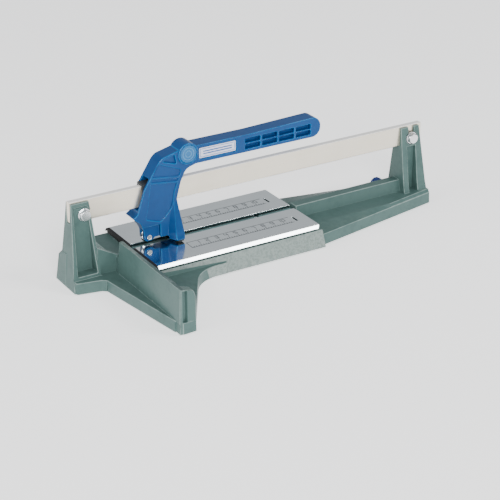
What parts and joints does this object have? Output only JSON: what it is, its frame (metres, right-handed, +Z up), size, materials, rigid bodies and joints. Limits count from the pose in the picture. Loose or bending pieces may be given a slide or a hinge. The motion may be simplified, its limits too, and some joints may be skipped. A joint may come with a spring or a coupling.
{
  "type": "tile cutter",
  "caption": "Small manual tile cutter: cast base with two sprung plates, side fence, two posts, flat rail and a sliding, rocking handle with scoring wheel and breaker.",
  "frame": {"origin": "middle of the whole footprint, on the floor", "axes": "+Z up, +X along the rail from the scoring end towards the grip end, -Y the side with the fence"},
  "size_m": [0.3922, 0.1876, 0.1163],
  "materials": {
    "casting": "satin grey-green paint over a die-cast light alloy, bare where machined",
    "bright_steel": "bright drawn flat bar",
    "zinc_steel": "bright zinc plated",
    "dark_steel": "dark blackened",
    "rubber": "matt black",
    "chromed_sheet": "chromed pressed sheet",
    "spring_steel": "spring steel",
    "nylon": "dark nylon",
    "blue_casting": "glossy blue paint over a die-cast light alloy",
    "badge_blue": "glossy light blue",
    "label": "pale blank label",
    "carbide": "ground hard metal",
    "blue_plastic": "glossy blue plastic"
  },
  "bodies": {
    "base": {"base_casting": "casting", "rail_bar": "bright_steel", "rail_bolts": "zinc_steel", "rail_washers": "zinc_steel", "rail_nuts": "zinc_steel", "breaking_strip": "dark_steel", "strip_screws": "zinc_steel", "rubber_feet": "rubber", "feet_screws": "zinc_steel", "knob_stud": "zinc_steel", "front_plate_springs": "spring_steel", "rear_plate_springs": "spring_steel"},
    "front_plate": {"front_plate": "chromed_sheet", "front_plate_studs": "zinc_steel", "front_plate_clips": "spring_steel"},
    "rear_plate": {"rear_plate": "chromed_sheet", "rear_plate_studs": "zinc_steel", "rear_plate_clips": "spring_steel"},
    "shoe": {"shoe_front": "nylon", "shoe_rear": "nylon"},
    "handle": {"handle_casting": "blue_casting", "pivot_pins": "dark_steel", "badge_disc": "badge_blue", "label_plate": "label", "breaker_pads": "nylon", "wheel_axle": "zinc_steel", "axle_clip": "spring_steel"},
    "wheel": {"scoring_wheel": "carbide"},
    "knob": {"knob": "blue_plastic"}
  },
  "joints": [
    {"name": "carriage_slide", "type": "slide", "parent": "base", "child": "shoe", "axis": [1, 0, 0], "range_m": [-0.03, 0.142]},
    {"name": "handle_rock", "type": "hinge", "parent": "shoe", "child": "handle", "pos_m": [-0.1045, 0.04135, 0.072], "axis": [0, 1, 0], "range_deg": [-10, 0]},
    {"name": "wheel_spin", "type": "hinge", "parent": "handle", "child": "wheel", "pos_m": [-0.113, 0.04135, 0.0315], "axis": [0, 1, 0], "continuous": true},
    {"name": "knob_turn", "type": "hinge", "parent": "base", "child": "knob", "pos_m": [0.168, 0.07135, 0.0084], "axis": [0, 1, 0], "continuous": true},
    {"name": "front_plate_press", "type": "slide", "parent": "base", "child": "front_plate", "axis": [0, 0, 1], "range_m": [-0.0012, 0], "stiffness_N_per_m": 3000, "springref_m": 0.002, "deforming": ["front_plate_springs"]},
    {"name": "rear_plate_press", "type": "slide", "parent": "base", "child": "rear_plate", "axis": [0, 0, 1], "range_m": [-0.0012, 0], "stiffness_N_per_m": 3000, "springref_m": 0.002, "deforming": ["rear_plate_springs"]}
  ]
}
